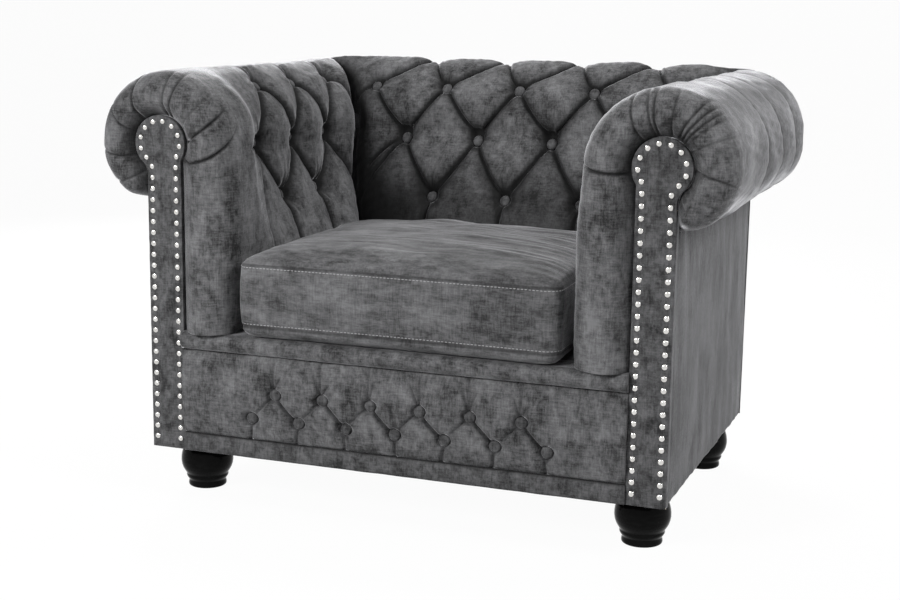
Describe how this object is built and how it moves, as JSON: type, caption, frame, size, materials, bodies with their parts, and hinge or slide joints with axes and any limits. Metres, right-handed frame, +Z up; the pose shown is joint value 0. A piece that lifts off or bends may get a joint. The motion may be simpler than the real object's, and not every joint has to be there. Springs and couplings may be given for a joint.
{
  "type": "deep-buttoned rolled-arm armchair",
  "caption": "Low square armchair with rolled, deep-buttoned arms and back of one height, studded arm facings, a buttoned front rail, a loose box seat cushion and bun feet.",
  "frame": {"origin": "on the floor, under the middle of the chair's bounding box", "axes": "+X to the sitter's left, which is the right of someone facing the chair; +Y to the back; +Z up"},
  "size_m": [1.0374, 0.728, 0.71],
  "materials": {
    "timber": "planed beech, unfinished",
    "plywood": "raw plywood and board",
    "webbing": "woven elastic webbing",
    "hessian": "coarse jute hessian",
    "foam": "upholstery foam wrapped in wadding",
    "velvet": "dark grey crushed velvet over foam",
    "nickel": "polished nickel",
    "zip_tape": "woven zip tape",
    "black_lacquer": "turned wood, gloss black lacquer",
    "steel": "zinc plated steel",
    "dust_cloth": "thin black non-woven cloth"
  },
  "bodies": {
    "chair": {"arm_buttons_left": "velvet", "arm_buttons_right": "velvet", "arm_hessian_left": "hessian", "arm_hessian_right": "hessian", "arm_pad_left": "velvet", "arm_pad_right": "velvet", "arm_stuffing_rail_left": "timber", "arm_stuffing_rail_right": "timber", "arm_top_rail_left": "timber", "arm_top_rail_right": "timber", "arm_webbing_left": "webbing", "arm_webbing_right": "webbing", "back_buttons": "velvet", "back_hessian": "hessian", "back_pad": "velvet", "back_post_left": "timber", "back_post_right": "timber", "back_rail": "timber", "back_stuffing_rail": "timber", "back_top_rail": "timber", "back_upright": "timber", "back_webbing": "webbing", "corner_blocks": "timber", "dust_cover": "dust_cloth", "facing_board_left": "plywood", "facing_board_right": "plywood", "facing_cover_left": "velvet", "facing_cover_right": "velvet", "facing_nails_left": "nickel", "facing_nails_right": "nickel", "foot_bolts": "steel", "foot_tee_nuts": "steel", "front_foot_left": "black_lacquer", "front_foot_right": "black_lacquer", "front_post_left": "timber", "front_post_right": "timber", "front_rail": "timber", "lower_band": "velvet", "outside_arm_board_left": "plywood", "outside_arm_board_right": "plywood", "outside_arm_cover_left": "velvet", "outside_arm_cover_right": "velvet", "outside_back_board": "plywood", "outside_back_cover": "velvet", "rail_buttons": "velvet", "rail_pad": "velvet", "rear_foot_left": "black_lacquer", "rear_foot_right": "black_lacquer", "seat_deck_pad": "velvet", "seat_front_roll": "velvet", "seat_hessian": "hessian", "seat_webbing_crosswise": "webbing", "seat_webbing_lengthwise": "webbing", "side_rail_left": "timber", "side_rail_right": "timber"},
    "seat_cushion": {"cushion_cover": "velvet", "cushion_zip": "zip_tape", "cushion_core": "foam"},
    "cushion_zip_slider": {"zip_slider": "nickel"}
  },
  "joints": [
    {"name": "seat_cushion_lift", "type": "slide", "parent": "chair", "child": "seat_cushion", "axis": [0, 0, 1], "range_m": [0, 0.45]},
    {"name": "zip_slide", "type": "slide", "parent": "seat_cushion", "child": "cushion_zip_slider", "axis": [1, 0, 0], "range_m": [0, 0.39]}
  ]
}
